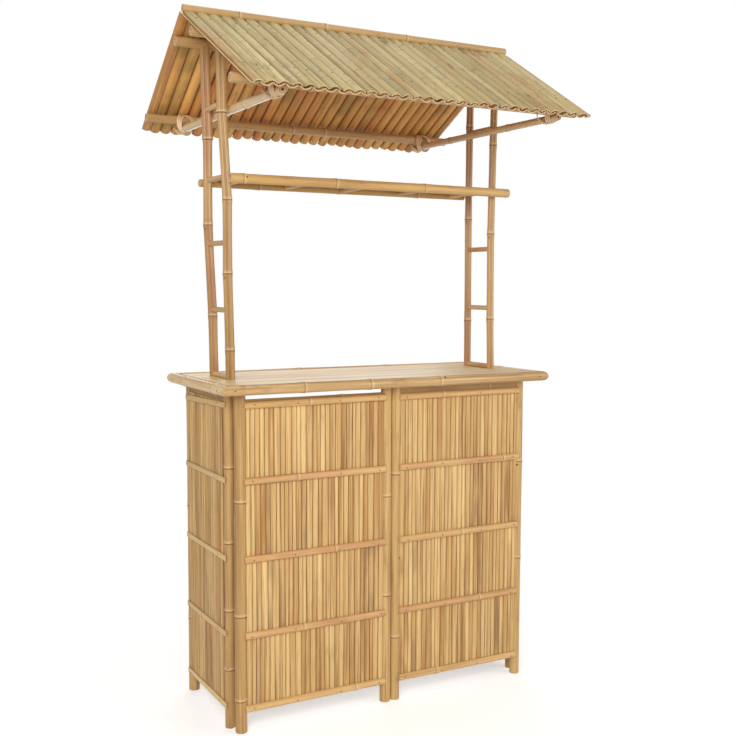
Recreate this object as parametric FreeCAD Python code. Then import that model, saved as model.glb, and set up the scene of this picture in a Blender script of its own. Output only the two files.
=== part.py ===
import FreeCAD, Part
import math
import os

# Bamboo bar with a counter, two post ladders, a bottle shelf and a small tiled gable roof.
# Millimetres, +Z up, +X to the right seen from the guests' side, which is the -Y side.
# The origin is on the floor, below the middle of the ridge.

V = FreeCAD.Vector

# Flats that stand for the round of a pole, of a thin rod, of a bolt or dowel and of a split pole
pole_sides = 12
rod_sides = 8
bolt_sides = 6
split_sides = 5

# Driving sizes of the base: a folding screen of four panels
front_line = -224.0
middle_post_spacing = 38.0
wing_setback = 49.0
wing_outset = 16.5
wing_width = 336.0
counter_height = 1056.0
rail_shares = (0.0682, 0.2803, 0.5, 0.7235, 0.9384)
rail_radius = 11.0
top_back_rail_rise = 9.0
corner_post_left = 36.0
corner_post_right = 32.0
middle_post_left = 31.0
middle_post_right = 27.0
wing_front_post = 31.0
wing_rear_post = 35.0
slat_thickness = 5.0
slat_pitch = 17.0
slat_gap = 0.6
slat_end_clearance = 1.0
strip_thickness = 4.0
strip_width = 20.0
strip_lap = 6.0

# Counter top
top_pole = 32.0
top_length = 1196.0
top_front_overhang = 50.0
top_depth = 511.0
top_side_overhang = 90.0
board_thickness = 6.0
board_below_pole = 3.0
board_count = 5
board_gap = 0.8
board_edge_gap = 4.0
end_batten_width = 84.0
middle_batten_width = 70.0
thin_batten_width = 30.0
batten_side_gap = 16.0
wing_top_clearance = 0.5

# Ladders that carry the shelf and the roof
ladder_inset_left = 118.0
ladder_inset_right = 98.0
ladder_lean = 0.65
ladder_spread = 146.0
ladder_post_left = 27.0
ladder_post_right = 23.0
rung = 17.0
rung_rises = (211.0, 417.0, 616.0, 834.0)

# Bottle shelf
shelf_rise = 609.0
shelf_front_pole_d = 30.0
shelf_rear_pole_d = 24.0
shelf_front_beyond = (6.0, 42.0)
shelf_rear_beyond = (31.0, -9.0)
shelf_cross_shares = (-0.878, -0.439, 0.0, 0.439, 0.878)
shelf_cross_d = 16.0
shelf_slat_count = 6
shelf_slat_gap = 3.0
shelf_slat_thickness = 5.0

# Roof
roof_rise = 1094.0
roof_pitch = 30.0
roof_pole_length = 1188.0
tile_spacing = 38.0
tile_column_count = 30
tile_culm = 44.0
tile_wall = 3.5
tile_length = 558.0
tile_taper = 1.04
tile_top_gap = 1.5
tile_side_gap = 0.4
tile_outer_sides = 4
tile_inner_sides = 2
lower_tile_overhang = 6.0
upper_purlin = 31.0
lower_purlin = 29.0
lower_purlin_y = 389.0
ridge_pole_d = 24.0
beam_left = 27.0
beam_right = 23.0
beam_reach = 440.0

# Rattan bindings where the beams cross the lower purlins
rattan_width = 6.4
rattan_thickness = 2.0
rattan_turn_count = 3
rattan_gap = 0.6
rattan_room = 5.5
rattan_shoulder = 2.2

# Hinges between the front panels and the wings
hinge_shares = (0.232, 0.8333)
hinge_height = 70.0
hinge_plate = 2.0
hinge_knuckle = 8.0
hinge_pin = 4.0
hinge_knuckle_gap = 0.4
pin_running_gap = 0.05
planed_flat = 0.8
fixed_leaf_overhang = 2.0
wing_leaf_overhang = 10.0

# Bamboo joints, fits and bolts
centre_bolt_shares = (0.1705, 0.8333)
node_rise = 1.3
node_half_width = 5.0
fit = 0.2
roof_fit = 0.3
bolt = 6.0
bolt_head = 10.0
bolt_head_height = 4.0
dowel = 10.0
dowel_length = 36.0
pith = 0.3
end_bore_depth = 30.0

# Places worked out from the sizes above
panel_width = (top_length - middle_post_spacing) / 2 - top_side_overhang
rail_heights = [share * counter_height for share in rail_shares]
hinge_heights = [share * counter_height for share in hinge_shares]
centre_bolt_heights = [share * counter_height for share in centre_bolt_shares]
rung_heights = [counter_height + rise for rise in rung_rises]
shelf_height = counter_height + shelf_rise
roof_apex = counter_height + roof_rise
ladder_foot_left = top_length / 2 - ladder_inset_left
ladder_foot_right = top_length / 2 - ladder_inset_right
shelf_front_ends = (-ladder_foot_left - shelf_front_beyond[0], ladder_foot_right + shelf_front_beyond[1])
shelf_rear_ends = (-ladder_foot_left - shelf_rear_beyond[0], ladder_foot_right + shelf_rear_beyond[1])
shelf_cross_x = [share * (ladder_foot_left + ladder_foot_right) / 2 for share in shelf_cross_shares]
wing_front_line = front_line + wing_setback
wing_rear_line = wing_front_line + wing_width
post_top = counter_height - top_pole
top_pole_z = counter_height - top_pole / 2
board_top = counter_height - board_below_pole
board_bottom = board_top - board_thickness
top_front_y = front_line - top_front_overhang
top_rear_y = top_front_y + top_depth - top_pole
top_side_x = (top_length - top_pole) / 2
ladder_y = ladder_spread / 2
pitch = math.radians(roof_pitch)


def middle_x(side):
    return side * middle_post_spacing / 2


def corner_x(side):
    return side * (middle_post_spacing / 2 + panel_width)


def wing_x(side):
    return corner_x(side) + side * wing_outset


def corner_d(side):
    return corner_post_left if side < 0 else corner_post_right


def save(name, *solids):
    shape = solids[0] if len(solids) == 1 else Part.makeCompound(list(solids))
    shape.exportStep("parts/" + name + ".step")


def polygon(points):
    return Part.Face(Part.makePolygon(points + points[:1]))


def skin(rings):
    """A solid with a flat between each pair of neighbouring points of neighbouring rings."""
    faces = [polygon(rings[0]), polygon(rings[-1])]
    for low, high in zip(rings[:-1], rings[1:]):
        for i in range(len(low)):
            j = (i + 1) % len(low)
            faces.append(polygon([low[i], low[j], high[j], high[i]]))
    solid = Part.Solid(Part.makeShell(faces))
    if solid.Volume < 0:
        solid.reverse()
    return solid


def lathe(start, end, steps, sides):
    """A turned form from start to end; each step is a place along it and the half width over its flats."""
    rings = []
    for at, half_width in steps:
        reach = half_width / math.cos(math.pi / sides)
        ring = []
        for i in range(sides):
            angle = 2 * math.pi * (i + 0.5) / sides
            ring.append(V(reach * math.cos(angle), reach * math.sin(angle), at))
        rings.append(ring)
    body = skin(rings)
    body.Placement = FreeCAD.Placement(start, FreeCAD.Rotation(V(0, 0, 1), end - start))
    return body


def rod(start, end, diameter, sides=rod_sides):
    return lathe(start, end, [(0, diameter / 2), ((end - start).Length, diameter / 2)], sides)


def culm(start, end, diameter, joints=(), bore=0.0):
    """A bamboo pole from start to end, with a raised ring at each joint (a share of its length)."""
    length = (end - start).Length
    steps = [(0, diameter / 2)]
    for share in joints:
        at = share * length
        steps.append((at - node_half_width, diameter / 2))
        steps.append((at, diameter / 2 + node_rise))
        steps.append((at + node_half_width, diameter / 2))
    steps.append((length, diameter / 2))
    body = lathe(start, end, steps, pole_sides)
    if bore > 0:
        inside = start + (end - start).normalize() * end_bore_depth
        body = body.cut(rod(start, inside, diameter * bore))
    return body


def half_round(start, end, flat_normal, radius):
    """A split pole from start to end; its flat face holds both points and looks along flat_normal."""
    along = (end - start).normalize()
    across = along.cross(flat_normal).normalize()
    outline = []
    for i in range(split_sides + 1):
        angle = math.pi * i / split_sides
        outline.append(start + across * (radius * math.cos(angle)) - flat_normal * (radius * math.sin(angle)))
    return polygon(outline).extrude(end - start)


def box(x0, x1, y0, y1, z0, z1):
    low = V(min(x0, x1), min(y0, y1), min(z0, z1))
    return Part.makeBox(abs(x1 - x0), abs(y1 - y0), abs(z1 - z0), low)


def between(shape, *cutters):
    """What is left of a shape between its neighbours: the largest piece once they are cut away."""
    for cutter in cutters:
        shape = max(shape.cut(cutter).Solids, key=lambda solid: solid.Volume)
    return shape


def spaced(first, last, spacing):
    """Edges of equal strips that fill first to last, as near to the spacing as they come."""
    count = max(1, round(abs(last - first) / spacing))
    step = (last - first) / count
    return [(first + step * i, first + step * (i + 1)) for i in range(count)]


os.makedirs("parts", exist_ok=True)


# Front panels: posts, half-round rails in front, split slats, half-round rails behind
def post(x, y, diameter, top, joints):
    return culm(V(x, y, 0), V(x, y, top), diameter, joints)


def slat_bays():
    bays = []
    for low, high in zip(rail_heights[:-1], rail_heights[1:]):
        bays.append([low + slat_end_clearance, high - slat_end_clearance])
    bays[0][0] = rail_heights[0] - rail_radius + slat_end_clearance
    bays[-1][1] = rail_heights[-1] + rail_radius - slat_end_clearance
    return bays


def back_heights():
    heights = list(rail_heights)
    heights[-1] += top_back_rail_rise
    return heights


slats_front = front_line - slat_thickness / 2
slats_back = front_line + slat_thickness / 2
base_posts = {}


def front_panel(side, name, middle_d, corner_joints, middle_joints):
    corner = post(corner_x(side), front_line, corner_d(side), post_top, corner_joints)
    middle = post(middle_x(side), front_line, middle_d, post_top, middle_joints)
    base_posts[side] = (corner, middle)
    rails = []
    for z in rail_heights:
        start = V(corner_x(side), slats_front, z)
        rail = half_round(start, V(middle_x(side), slats_front, z), V(0, 1, 0), rail_radius)
        rails.append(between(rail, corner, middle))
    save(name + "_rails", *rails)
    rails = []
    for z in back_heights():
        start = V(corner_x(side), slats_back, z)
        rail = half_round(start, V(middle_x(side), slats_back, z), V(0, -1, 0), rail_radius)
        rails.append(between(rail, corner, middle))
    save(name + "_back_rails", *rails)
    slats = []
    room = node_rise + fit
    first = corner_x(side) - side * (corner_d(side) / 2 + room)
    last = middle_x(side) + side * (middle_d / 2 + room)
    for low, high in slat_bays():
        for x0, x1 in spaced(min(first, last), max(first, last), slat_pitch):
            slats.append(box(x0 + slat_gap / 2, x1 - slat_gap / 2, slats_front, slats_back, low, high))
    save(name + "_slats", *slats)


front_panel(-1, "front_left", middle_post_left, (0.09, 0.35, 0.69), (0.35, 0.66))
front_panel(1, "front_right", middle_post_right, (0.4, 0.72), (0.2, 0.72))


# Bolts with sunk heads and a spacer between, which join the panels at the middle posts
def bolt_end(centre, direction):
    return rod(centre, centre + direction * bolt_head_height, bolt_head, bolt_sides)


def centre_bolt(z):
    left = V(middle_x(-1) - middle_post_left / 2 + bolt_head_height, front_line, z)
    right = V(middle_x(1) + middle_post_right / 2 - bolt_head_height, front_line, z)
    gap_left = V(middle_x(-1) + middle_post_left / 2, front_line, z)
    gap_right = V(middle_x(1) - middle_post_right / 2, front_line, z)
    spacer = rod(gap_left, gap_right, bolt_head)
    ends = [bolt_end(left, V(-1, 0, 0)), bolt_end(right, V(1, 0, 0))]
    return rod(left, right, bolt, bolt_sides).fuse([spacer] + ends)


centre_bolts = [centre_bolt(z) for z in centre_bolt_heights]
save("centre_bolts", *centre_bolts)


# Dowels that stand in the front posts and hold the counter top
def post_dowel(x):
    foot = V(x, front_line, post_top - dowel_length / 2)
    return rod(foot, foot + V(0, 0, dowel_length), dowel, bolt_sides)


dowels = {x: post_dowel(x) for side in (-1, 1) for x in (corner_x(side), middle_x(side))}
save("top_dowels", *dowels.values())


# Hinges: both leaves lie on planed flats of the two posts, on the inner side, with the pin between
def hinge_frame(side):
    """The foot of the seat on the corner post, the directions along the seat and inwards, its length."""
    corner = V(corner_x(side), front_line, 0)
    span = V(wing_x(side), wing_front_line, 0) - corner
    reach = span.Length
    ahead = span.normalize()
    inner = V(-side * ahead.y, side * ahead.x, 0)
    corner_r = corner_d(side) / 2 - planed_flat
    sine = (corner_r - (wing_front_post / 2 - planed_flat)) / reach
    cosine = math.sqrt(1 - sine ** 2)
    inward = inner * cosine + ahead * sine
    along = ahead * cosine - inner * sine
    return corner + inward * corner_r, along, inward, reach * cosine


def seat_point(side, a, b, z):
    foot, along, inward, length = hinge_frame(side)
    return foot + along * a + inward * b + V(0, 0, z)


def seat_block(side, a0, a1, b0, b1, z0, z1):
    """A block between two places along the seat, two depths inward of it and two heights."""
    outline = [seat_point(side, a, b, z0) for a, b in ((a0, b0), (a1, b0), (a1, b1), (a0, b1))]
    return polygon(outline).extrude(V(0, 0, z1 - z0))


def pin_point(side, z):
    return seat_point(side, hinge_frame(side)[3] / 2, hinge_knuckle / 2, z)


def hinge_rod(side, z0, z1, diameter):
    """A rod on the pin's line, turned so that one of its flats lies on the seat."""
    foot, along, inward, length = hinge_frame(side)
    body = rod(pin_point(side, z0), pin_point(side, z1), diameter)
    body.rotate(pin_point(side, z0), V(0, 0, 1), math.degrees(math.atan2(inward.y, inward.x)))
    return body


def hinge_thirds(z):
    third = hinge_height / 3
    low = z - hinge_height / 2
    cut = hinge_knuckle_gap / 2
    return [(low + third * i + cut, low + third * (i + 1) - cut) for i in range(3)]


def leaf(side, z, own, outer_edge):
    """A leaf with the knuckles of its own thirds; it ends at outer_edge, away from the pin."""
    middle = hinge_frame(side)[3] / 2
    away = 1 if outer_edge > middle else -1
    clear = middle + away * (hinge_knuckle / 2 + hinge_knuckle_gap)
    thirds = hinge_thirds(z)
    body = seat_block(side, clear, outer_edge, 0, hinge_plate, thirds[0][0], thirds[2][1])
    for i in own:
        low, high = thirds[i]
        arm = seat_block(side, middle, clear, 0, hinge_plate, low, high)
        body = body.fuse([arm, hinge_rod(side, low, high, hinge_knuckle)])
    gap = 0.0 if len(own) == 2 else 2 * pin_running_gap
    bore = hinge_rod(side, thirds[0][0] - fit, thirds[2][1] + fit, hinge_pin + gap)
    return between(body.removeSplitter(), bore)


def hinge_pin_body(side, z):
    thirds = hinge_thirds(z)
    return Part.makeCylinder(hinge_pin / 2, thirds[2][1] - thirds[0][0], pin_point(side, thirds[0][0]))


def planed_for(side, a):
    """What is planed off a post so that the leaves lie flat, round one end of the seat."""
    reach = max(corner_d(side), wing_front_post) / 2
    return [seat_block(side, a - reach, a + reach, 0, reach, z - hinge_height / 2, z + hinge_height / 2)
            for z in hinge_heights]


fixed_leaves = []
pins = []
for side, name in ((-1, "left_wing"), (1, "right_wing")):
    seat_length = hinge_frame(side)[3]
    fixed_leaves += [leaf(side, z, (0, 2), -fixed_leaf_overhang) for z in hinge_heights]
    pins += [hinge_pin_body(side, z) for z in hinge_heights]
    save(name + "_hinge_leaves", *[leaf(side, z, (1,), seat_length + wing_leaf_overhang) for z in hinge_heights])
save("fixed_hinge_leaves", *fixed_leaves)
save("hinge_pins", *pins)

for side, name in ((-1, "front_left"), (1, "front_right")):
    corner, middle = base_posts[side]
    save(name + "_corner_post", between(corner, dowels[corner_x(side)], *planed_for(side, 0)))
    save(name + "_middle_post", between(middle, dowels[middle_x(side)], *centre_bolts))


# Wings: two posts, flat strips outside, slats, half-round rails inside
def wing(side, name):
    outer = wing_x(side) + side * wing_front_post / 2
    inner = outer - side * slat_thickness
    rear_x = outer - side * wing_rear_post / 2
    top = post_top - wing_top_clearance
    front = post(wing_x(side), wing_front_line, wing_front_post, top, (0.35, 0.77))
    rear = post(rear_x, wing_rear_line, wing_rear_post, top, (0.61,))
    save(name + "_front_post", between(front, *planed_for(side, hinge_frame(side)[3])))
    save(name + "_rear_post", rear)
    strips = []
    for z in rail_heights:
        strips.append(box(outer, outer + side * strip_thickness, wing_front_line - strip_lap,
                          wing_rear_line + strip_lap, z - strip_width / 2, z + strip_width / 2))
    save(name + "_strips", *strips)
    rails = []
    for z in back_heights():
        start = V(inner, wing_front_line, z)
        rail = half_round(start, V(inner, wing_rear_line, z), V(side, 0, 0), rail_radius)
        rails.append(between(rail, front, rear))
    save(name + "_back_rails", *rails)
    slats = []
    first = wing_front_line + slat_room(wing_front_post)
    last = wing_rear_line - slat_room(wing_rear_post)
    for low, high in slat_bays():
        for y0, y1 in spaced(first, last, slat_pitch):
            slats.append(box(outer, inner, y0 + slat_gap / 2, y1 - slat_gap / 2, low, high))
    save(name + "_slats", *slats)


def slat_room(diameter):
    """How far from a wing post's centre its slats start, where they lie within its round."""
    reach = (diameter / 2 + node_rise) / math.cos(math.pi / pole_sides)
    return math.sqrt(reach ** 2 - (diameter / 2 - slat_thickness) ** 2) + fit


wing(-1, "left_wing")
wing(1, "right_wing")


# Counter top: four mitred poles round a deck of flattened bamboo boards on cross battens
def mitred(start, end, joints):
    """A top pole whose ends meet its neighbours at 45 degrees; its corners are start and end."""
    along = (end - start).normalize()
    inward = V(0, 0, 1).cross(along)
    reach = top_pole
    length = (end - start).Length
    shares = [(reach + share * length) / (length + 2 * reach) for share in joints]
    body = culm(start - along * reach, end + along * reach, top_pole, shares)
    places = [(-reach, -reach), (length + reach, -reach), (length - reach, reach), (reach, reach)]
    outline = [start + along * a + inward * b - V(0, 0, top_pole) for a, b in places]
    wedge = polygon(outline).extrude(V(0, 0, 2 * top_pole))
    return max(body.common(wedge).Solids, key=lambda solid: solid.Volume)


front_left = V(-top_side_x, top_front_y, top_pole_z)
front_right = V(top_side_x, top_front_y, top_pole_z)
rear_right = V(top_side_x, top_rear_y, top_pole_z)
rear_left = V(-top_side_x, top_rear_y, top_pole_z)
save("top_front_pole", mitred(front_left, front_right, (0.22, 0.42, 0.64)))
save("top_rear_pole", mitred(rear_right, rear_left, (0.6,)))
save("top_right_pole", mitred(front_right, rear_right, (0.5,)))
save("top_left_pole", mitred(rear_left, front_left, (0.25, 0.84)))


def foot_x(side):
    return -ladder_foot_left if side < 0 else ladder_foot_right


def foot_bolt(side, y):
    """A bolt that comes up through batten and deck into the foot of a ladder post."""
    seat = V(foot_x(side), y, post_top + bolt_head_height)
    shank = rod(seat, V(foot_x(side), y, board_top + dowel_length), bolt, bolt_sides)
    return shank.fuse(bolt_end(seat, V(0, 0, -1)))


foot_bolts = [foot_bolt(side, y) for side in (-1, 1) for y in (-ladder_y, ladder_y)]
save("ladder_foot_bolts", *foot_bolts)

battens = []
end_x = top_side_x - top_pole / 2 - batten_side_gap - end_batten_width / 2
for x, width in ((-end_x, end_batten_width), (-end_x / 2, thin_batten_width), (0, middle_batten_width),
                 (end_x / 2, thin_batten_width), (end_x, end_batten_width)):
    batten = box(x - width / 2, x + width / 2, top_front_y + top_pole / 2, top_rear_y - top_pole / 2,
                 post_top, board_bottom)
    battens.append(between(batten, *dowels.values(), *foot_bolts))
save("top_battens", *battens)

boards = []
board_half = top_side_x - top_pole / 2 - board_edge_gap
front_edge = top_front_y + top_pole / 2 + board_edge_gap
rear_edge = top_rear_y - top_pole / 2 - board_edge_gap
for y0, y1 in spaced(front_edge, rear_edge, (rear_edge - front_edge) / board_count):
    board = box(-board_half, board_half, y0 + board_gap / 2, y1 - board_gap / 2, board_bottom, board_top)
    boards.append(between(board, *foot_bolts))
save("top_boards", *boards)


# Ladders: each leans outwards a little, with rungs coped round its two posts
def lean(side, shape):
    shape.rotate(V(foot_x(side), 0, board_top), V(0, 1, 0), side * ladder_lean)
    return shape


def ladder_x(side, z):
    return foot_x(side) + side * (z - board_top) * math.tan(math.radians(ladder_lean))


def under_tiles(y, radius):
    """Height of a roof pole's centre that touches the underside of the tiles at this depth."""
    return roof_apex - abs(y) * math.tan(pitch) - (radius + roof_fit) / math.cos(pitch)


def roof_pole(y, z, diameter, joint_places):
    half = roof_pole_length / 2
    joints = [0.5 + x / roof_pole_length for x in joint_places]
    return culm(V(-half, y, z), V(half, y, z), diameter, joints)


def valley(count, y):
    """Where a purlin's joint goes: between two crowns of the lower tiles, counted from the middle."""
    share = abs(y) / math.cos(pitch) / tile_length
    return (count + 0.5) * tile_spacing * (tile_taper + (1 - tile_taper) * share)


upper_purlin_z = under_tiles(ladder_y, upper_purlin / 2)
upper_front_purlin = roof_pole(-ladder_y, upper_purlin_z, upper_purlin, (valley(6, ladder_y),))
upper_rear_purlin = roof_pole(ladder_y, upper_purlin_z, upper_purlin, (valley(-3, ladder_y),))
save("upper_front_purlin", upper_front_purlin)
save("upper_rear_purlin", upper_rear_purlin)
deck = box(-top_length, top_length, top_front_y, top_rear_y, 0, board_top)


def ladder_post(side, y, diameter, joints, carried):
    foot = V(foot_x(side), y, board_top - node_half_width)
    top = V(foot_x(side), y, upper_purlin_z)
    body = lean(side, culm(foot, top, diameter, joints))
    holes = [body_of for body_of in foot_bolts if body_of.BoundBox.Center.y * y > 0]
    return between(body, deck, carried, *holes)


def ladder_rung(side, z, front, rear):
    body = lean(side, rod(V(foot_x(side), -ladder_y, z), V(foot_x(side), ladder_y, z), rung))
    return between(body, front, rear)


for side, name, diameter in ((-1, "left", ladder_post_left), (1, "right", ladder_post_right)):
    front = ladder_post(side, -ladder_y, diameter, (0.55,), upper_front_purlin)
    rear = ladder_post(side, ladder_y, diameter, (0.44,), upper_rear_purlin)
    save(name + "_front_upright", front)
    save(name + "_rear_upright", rear)
    floor_rung = board_top + rung / 2 + roof_fit
    save(name + "_rungs", *[ladder_rung(side, z, front, rear) for z in [floor_rung] + rung_heights])


# Bottle shelf: a pole in front of the uprights, one behind, cross pieces and a slatted deck
upright_r = max(ladder_post_left, ladder_post_right) / 2
shelf_front_y = -ladder_y - upright_r - shelf_front_pole_d / 2 - fit
shelf_rear_y = ladder_y + upright_r + shelf_rear_pole_d / 2 + fit


def shelf_pole(ends, y, diameter, joints, bore=0.0):
    return culm(V(ends[0], y, shelf_height), V(ends[1], y, shelf_height), diameter, joints, bore)


shelf_front = shelf_pole(shelf_front_ends, shelf_front_y, shelf_front_pole_d, (0.3,), 0.62)
shelf_rear = shelf_pole(shelf_rear_ends, shelf_rear_y, shelf_rear_pole_d, (0.8,))
save("shelf_front_pole", shelf_front)
save("shelf_rear_pole", shelf_rear)
cross_pieces = []
for x in shelf_cross_x:
    body = rod(V(x, shelf_front_y, shelf_height), V(x, shelf_rear_y, shelf_height), shelf_cross_d)
    cross_pieces.append(between(body, shelf_front, shelf_rear))
save("shelf_cross_pieces", *cross_pieces)
shelf_slats = []
slat_low = shelf_height + shelf_cross_d / 2 + fit
first = shelf_front_y + shelf_front_pole_d / 2 + node_rise + fit
last = shelf_rear_y - shelf_rear_pole_d / 2 - node_rise - fit
left_end = ladder_x(-1, shelf_height) + ladder_post_left / 2 + node_rise + fit
right_end = ladder_x(1, shelf_height) - ladder_post_right / 2 - node_rise - fit
for y0, y1 in spaced(first, last, (last - first) / shelf_slat_count):
    shelf_slats.append(box(left_end, right_end, y0 + shelf_slat_gap / 2, y1 - shelf_slat_gap / 2,
                           slat_low, slat_low + shelf_slat_thickness))
save("shelf_slats", *shelf_slats)


# Roof: lower purlins, cross beams under them, two layers of split-culm tiles on each slope
lower_purlin_z = under_tiles(lower_purlin_y, lower_purlin / 2 + rattan_room)
save("lower_front_purlin", roof_pole(-lower_purlin_y, lower_purlin_z, lower_purlin, (valley(3, lower_purlin_y),)))
save("lower_rear_purlin", roof_pole(lower_purlin_y, lower_purlin_z, lower_purlin, (valley(-2, lower_purlin_y),)))

beams = {}
for side, name, diameter, upright in ((-1, "left", beam_left, ladder_post_left), (1, "right", beam_right, ladder_post_right)):
    z = lower_purlin_z - lower_purlin / 2 - diameter / 2 - fit
    x = ladder_x(side, z) - side * (upright / 2 + diameter / 2 + fit)
    beams[side] = (x, z, diameter)
    save(name + "_cross_beam", culm(V(x, -beam_reach, z), V(x, beam_reach, z), diameter, (0.7,), pith))


def slope_point(side, x, along, up):
    """A point of a slope: along it from the ridge line, and up from the tiles' underside."""
    return V(x, side * (along * math.cos(pitch) + up * math.sin(pitch)),
             roof_apex - along * math.sin(pitch) + up * math.cos(pitch))


tile_r = tile_culm / 2
tile_inner = tile_r - tile_wall
half_chord = (tile_spacing - tile_side_gap) / 2
edge = math.sqrt(tile_r ** 2 - half_chord ** 2)
rim = tile_r - edge
outer_spread = math.asin(half_chord / tile_r)
inner_spread = math.acos(edge / tile_inner)
inner_half = tile_inner * math.sin(inner_spread)
rim_reach = tile_spacing / 2 - inner_half
over_rim = tile_inner - rim_reach * (tile_inner - edge) / inner_half
upper_centre = rim + roof_fit - over_rim


def tile(side, x, centre, sign, start, end):
    """A split culm: centre is its axis above the tiles' underside; sign is -1 crown down, 1 crown up.
    Its thick end is at the ridge, so the tiles fan out a little towards it."""
    rings = []
    for along, size in ((start, tile_taper), (end, 1.0)):
        outline = []
        for radius, spread, flats, way in ((tile_r, outer_spread, tile_outer_sides, 1),
                                           (tile_inner, inner_spread, tile_inner_sides, -1)):
            for i in range(flats + 1):
                angle = way * spread * (2 * i / flats - 1)
                up = size * (centre + sign * radius * math.cos(angle))
                outline.append(slope_point(side, size * (x + radius * math.sin(angle)), along, up))
        rings.append(outline)
    return skin(rings)


def course(side, count, centre, sign, end):
    middle = (count - 1) / 2
    return [tile(side, (i - middle) * tile_spacing, centre, sign, tile_top_gap, end) for i in range(count)]


tile_end = tile_top_gap + tile_length
for side, name in ((-1, "front"), (1, "rear")):
    save(name + "_lower_tiles", *course(side, tile_column_count - 1, tile_r, -1, tile_end + lower_tile_overhang))
    save(name + "_upper_tiles", *course(side, tile_column_count, upper_centre, 1, tile_end))

crown = slope_point(1, 0, tile_top_gap, (upper_centre + tile_r) * tile_taper)
ridge_r = ridge_pole_d / 2 / math.cos(math.pi / pole_sides)
ridge_z = crown.z + math.sqrt(max(0.0, (ridge_r + roof_fit) ** 2 - crown.y ** 2))
top_spacing = tile_spacing * tile_taper
save("ridge_pole", roof_pole(0, ridge_z, ridge_pole_d, (-11 * top_spacing, 5 * top_spacing)))


# Rattan bindings: one strand, flat inside and domed outside, wound round beam and purlin
def arc_between(start, tangent, end):
    """The arc that leaves start along the tangent and reaches end."""
    chord = end - start
    across = chord - tangent * chord.dot(tangent)
    radius = chord.dot(chord) / (2 * across.Length)
    centre = start + across.normalize() * radius
    middle = ((start + end) * 0.5 - centre).normalize()
    return Part.Arc(start, centre + middle * radius, end)


def biarc(start, start_tangent, end, end_tangent):
    """Two arcs that join the two points with both tangents kept."""
    v = end - start
    t = start_tangent + end_tangent
    a = 2 * (1 - start_tangent.dot(end_tangent))
    b = 2 * v.dot(t)
    reach = (-b + math.sqrt(b * b + 4 * a * v.dot(v))) / (2 * a)
    joint = (start + end + (start_tangent - end_tangent) * reach) * 0.5
    joint_tangent = (end - start - t * reach).normalize()
    return [arc_between(start, start_tangent, joint), arc_between(joint, joint_tangent, end)]


def winding(x, y, beam_z, beam_d):
    """A strand round the crossing: its turns lie side by side over the purlin and under the beam."""
    low = beam_z - beam_d / 2
    high = lower_purlin_z + lower_purlin / 2
    centre = V(x, y, (low + high) / 2)
    away = rattan_thickness / 2 + 7 * roof_fit
    tall = (high - low) / 2 + away
    lift = (lower_purlin_z - centre.z) / tall
    step = rattan_width + rattan_gap
    spread = (step * rattan_turn_count + rattan_width) / 2
    reach = max(beam_d, lower_purlin) / math.sqrt(2) / math.cos(math.pi / pole_sides)
    wide = (reach + (1 - lift) * spread + away) / math.sqrt(1 - lift ** 2) + rattan_shoulder
    outward = V(1, 1, 0).normalize()
    sideways = V(1, -1, 0).normalize()

    def place(turn):
        angle = 2 * math.pi * turn
        shift = step * (turn - rattan_turn_count / 2)
        return (centre + outward * (wide * math.cos(angle) + shift * math.sin(angle))
                + V(0, 0, tall * math.sin(angle)) + sideways * shift)

    def heading(turn):
        angle = 2 * math.pi * turn
        shift = step * (turn - rattan_turn_count / 2)
        drift = step / (2 * math.pi)
        return (outward * (-wide * math.sin(angle) + shift * math.cos(angle) + drift * math.sin(angle))
                + V(0, 0, tall * math.cos(angle)) + sideways * drift).normalize()

    start = place(0) - heading(0) * rattan_width
    last = place(rattan_turn_count)
    edges = [Part.LineSegment(start, place(0)).toShape()]
    for i in range(4 * rattan_turn_count):
        arcs = biarc(place(i / 4), heading(i / 4), place((i + 1) / 4), heading((i + 1) / 4))
        edges += [arc.toShape() for arc in arcs]
    edges.append(Part.LineSegment(last, last + heading(rattan_turn_count) * rattan_width).toShape())
    path = Part.Wire(edges)
    flat = heading(0).cross(outward).normalize() * (rattan_width / 2)
    thick = outward * (rattan_thickness / 2)
    outline = [start + thick, start - flat - thick, start + flat - thick]
    pipe = Part.BRepOffsetAPI.MakePipeShell(path)
    pipe.add(Part.makePolygon(outline + outline[:1]), False, False)
    pipe.build()
    pipe.makeSolid()
    body = Part.Solid(pipe.shape())
    plain = path.Length * rattan_width * rattan_thickness / 2
    print("binding at", round(x), round(y), "volume over section times length", round(body.Volume / plain, 4))
    print("least distance between turns", round(least_turn_gap(place) - rattan_width, 2))
    return body


def least_turn_gap(place):
    """The least distance between the middle lines of neighbouring turns, measured on points."""
    points = [place(i / 72) for i in range(72 * rattan_turn_count + 1)]
    return min((points[i] - points[j]).Length for i in range(len(points)) for j in range(i + 54, len(points)))


bindings = []
for side in (-1, 1):
    x, z, diameter = beams[side]
    for y in (-lower_purlin_y, lower_purlin_y):
        bindings.append(winding(x, y, z, diameter))
save("rattan_bindings", *bindings)
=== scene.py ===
import math
import random

import bpy
from mathutils import Matrix, Vector


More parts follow.
